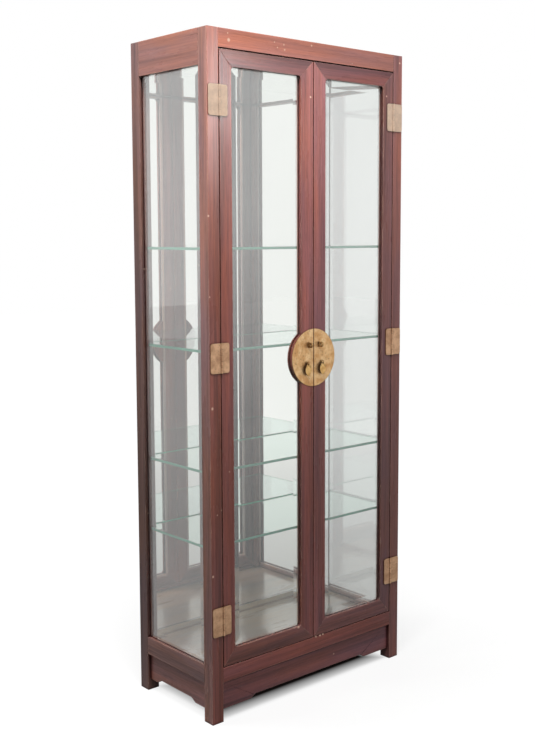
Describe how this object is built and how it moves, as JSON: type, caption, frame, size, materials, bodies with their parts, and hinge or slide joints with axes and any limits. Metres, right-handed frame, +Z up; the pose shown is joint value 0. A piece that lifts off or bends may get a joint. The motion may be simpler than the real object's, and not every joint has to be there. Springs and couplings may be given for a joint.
{
  "type": "glass-fronted display cabinet",
  "caption": "Tall wooden display cabinet on square legs with glass sides, hinged glass doors, mirror back, glass shelves and round brass lock plates.",
  "frame": {"origin": "on the floor, under the middle of the whole box, lock lugs included", "axes": "+X to the right seen from the front, +Y to the back, +Z up; the doors face -Y"},
  "size_m": [0.786, 0.388, 1.98],
  "materials": {
    "post_wood": "satin red-brown lacquer",
    "stile_wood": "satin red-brown lacquer",
    "door_rail_wood": "satin red-brown lacquer",
    "rail_wood": "satin red-brown lacquer",
    "apron_wood": "satin red-brown lacquer",
    "board_wood": "glossy red-brown lacquer",
    "cleat_wood": "bare wood",
    "bead_wood": "satin red-brown lacquer",
    "clear_glass": "clear, bevelled edges",
    "mirror": "silvered, bevelled edges",
    "back_wood": "bare board",
    "shelf_glass": "clear with green polished edges",
    "pin_brass": "polished",
    "hinge_brass": "aged, softly mottled",
    "hinge_pin_brass": "aged",
    "plate_brass": "aged, softly mottled",
    "lug_brass": "aged",
    "eye_brass": "aged",
    "pull_brass": "aged, softly mottled"
  },
  "bodies": {
    "carcass": {"front_left_post": "post_wood", "front_right_post": "post_wood", "rear_left_post": "post_wood", "rear_right_post": "post_wood", "front_top_rail": "rail_wood", "front_bottom_rail": "rail_wood", "rear_top_rail": "rail_wood", "rear_bottom_rail": "rail_wood", "left_top_rail": "rail_wood", "right_top_rail": "rail_wood", "left_bottom_rail": "rail_wood", "right_bottom_rail": "rail_wood", "front_apron": "apron_wood", "left_apron": "apron_wood", "right_apron": "apron_wood", "floor_board": "board_wood", "floor_cleats": "cleat_wood", "ceiling_board": "board_wood", "ceiling_front_strip": "board_wood", "top_board": "board_wood", "left_side_glass": "clear_glass", "right_side_glass": "clear_glass", "left_glass_beads": "bead_wood", "right_glass_beads": "bead_wood", "back_mirror": "mirror", "back_board": "back_wood", "shelf_1": "shelf_glass", "shelf_2": "shelf_glass", "shelf_3": "shelf_glass", "shelf_4": "shelf_glass", "shelf_pins": "pin_brass", "left_post_leaves": "hinge_brass", "right_post_leaves": "hinge_brass", "left_hinge_pins": "hinge_pin_brass", "right_hinge_pins": "hinge_pin_brass"},
    "left_door": {"left_hinge_stile": "stile_wood", "left_meeting_stile": "stile_wood", "left_door_top_rail": "door_rail_wood", "left_door_bottom_rail": "door_rail_wood", "left_door_glass": "clear_glass", "left_door_beads": "bead_wood", "left_round_blocks": "stile_wood", "left_lock_plate": "plate_brass", "left_lock_lug": "lug_brass", "left_pull_eye": "eye_brass", "left_door_leaves": "hinge_brass"},
    "left_pull": {"left_drop_pull": "pull_brass"},
    "right_door": {"right_hinge_stile": "stile_wood", "right_meeting_stile": "stile_wood", "right_door_top_rail": "door_rail_wood", "right_door_bottom_rail": "door_rail_wood", "right_door_glass": "clear_glass", "right_door_beads": "bead_wood", "right_round_blocks": "stile_wood", "right_lock_plate": "plate_brass", "right_lock_lug": "lug_brass", "right_pull_eye": "eye_brass", "right_door_leaves": "hinge_brass"},
    "right_pull": {"right_drop_pull": "pull_brass"}
  },
  "joints": [
    {"name": "left_door_hinge", "type": "hinge", "parent": "carcass", "child": "left_door", "pos_m": [-0.3515, -0.1775, 1.069], "axis": [0, 0, -1], "range_deg": [0, 170]},
    {"name": "right_door_hinge", "type": "hinge", "parent": "carcass", "child": "right_door", "pos_m": [0.3515, -0.1775, 1.069], "axis": [0, 0, 1], "range_deg": [0, 170]},
    {"name": "left_pull_swing", "type": "hinge", "parent": "left_door", "child": "left_pull", "pos_m": [-0.025, -0.1835, 1.029], "axis": [-1, 0, 0], "range_deg": [-6, 100]},
    {"name": "right_pull_swing", "type": "hinge", "parent": "right_door", "child": "right_pull", "pos_m": [0.035, -0.1835, 1.029], "axis": [-1, 0, 0], "range_deg": [-6, 100]}
  ]
}
